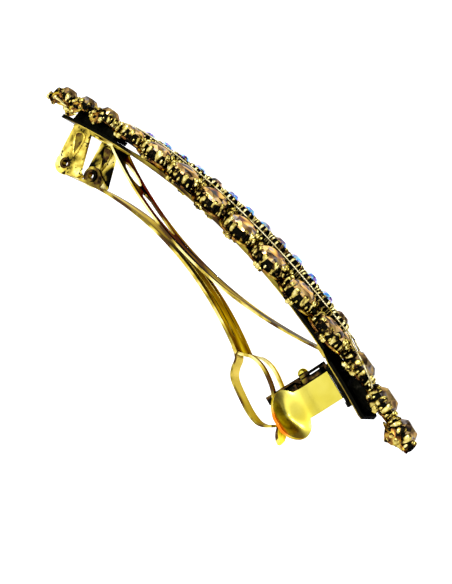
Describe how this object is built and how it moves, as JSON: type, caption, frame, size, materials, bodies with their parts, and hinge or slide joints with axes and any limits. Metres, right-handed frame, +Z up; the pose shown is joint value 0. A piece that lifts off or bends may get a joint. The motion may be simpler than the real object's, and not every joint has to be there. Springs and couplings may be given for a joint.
{
  "type": "barrette",
  "caption": "Spring-clip hair barrette: curved stone-set openwork plate on a bowed clip with a tension spring, a hinged closing arm and a one-sided press release",
  "frame": {"origin": "centre of the footprint, on the floor the hinge ears and the finger bow stand on", "axes": "X along the clip from hinge to catch, Y across it with the release lever towards -Y, Z up with the stones on top"},
  "size_m": [0.0959, 0.0198, 0.0224],
  "materials": {
    "dark_antique": "blackened, glossy",
    "bracket_gold": "antique gold, scratched",
    "pin_gold": "antique gold",
    "arm_gold": "antique gold, olive",
    "spring_gold": "dark antique gold with bright edges",
    "bright_gold": "polished",
    "antique_gold": "antique gold with black recesses",
    "wire_gold": "polished",
    "champagne_glass": "faceted, foiled back",
    "pearl_glass": "faceted, iridescent coat"
  },
  "bodies": {
    "frame": {"base_plate": "dark_antique", "hinge_bracket": "bracket_gold", "tension_spring": "spring_gold", "catch_base": "dark_antique", "fixed_latch_leg": "dark_antique", "latch_boss": "bright_gold", "hinge_solder_pad": "dark_antique", "catch_solder_pad": "dark_antique", "deco_plate": "dark_antique", "near_settings": "antique_gold", "far_settings": "antique_gold", "hinge_tail_settings": "antique_gold", "catch_tail_settings": "antique_gold", "middle_settings": "dark_antique", "near_gallery_wire": "wire_gold", "far_gallery_wire": "wire_gold", "hinge_leaves": "antique_gold", "catch_leaves": "antique_gold", "near_stone_01": "champagne_glass", "near_stone_02": "champagne_glass", "near_stone_03": "champagne_glass", "near_stone_04": "champagne_glass", "near_stone_05": "champagne_glass", "near_stone_06": "champagne_glass", "near_stone_07": "champagne_glass", "near_stone_08": "champagne_glass", "far_stone_01": "champagne_glass", "far_stone_02": "champagne_glass", "far_stone_03": "champagne_glass", "far_stone_04": "champagne_glass", "far_stone_05": "champagne_glass", "far_stone_06": "champagne_glass", "far_stone_07": "champagne_glass", "far_stone_08": "champagne_glass", "tail_stone_1": "champagne_glass", "tail_stone_2": "champagne_glass", "tail_stone_3": "champagne_glass", "tail_stone_4": "champagne_glass", "tail_stone_5": "champagne_glass", "tail_stone_6": "champagne_glass", "middle_stone_01": "pearl_glass", "middle_stone_02": "pearl_glass", "middle_stone_03": "pearl_glass", "middle_stone_04": "pearl_glass", "middle_stone_05": "pearl_glass", "middle_stone_06": "pearl_glass", "middle_stone_07": "pearl_glass", "middle_stone_08": "pearl_glass", "middle_stone_09": "pearl_glass", "middle_stone_10": "pearl_glass", "middle_stone_11": "pearl_glass", "middle_stone_12": "pearl_glass", "middle_stone_13": "pearl_glass"},
    "arm": {"closing_arm": "arm_gold", "finger_bow": "arm_gold", "near_hinge_pin": "pin_gold", "far_hinge_pin": "pin_gold"},
    "release": {"release_lever": "bright_gold"}
  },
  "joints": [
    {"name": "arm_hinge", "type": "hinge", "parent": "frame", "child": "arm", "pos_m": [-0.03045, 0, 0.0021], "axis": [0, 1, 0], "range_deg": [0, 75]},
    {"name": "release_press", "type": "hinge", "parent": "frame", "child": "release", "pos_m": [0.03314, -0.0048, 0.01482], "axis": [0.9894, 0, -0.1455], "range_deg": [0, 4.5], "stiffness_Nm_per_rad": 0.2}
  ]
}
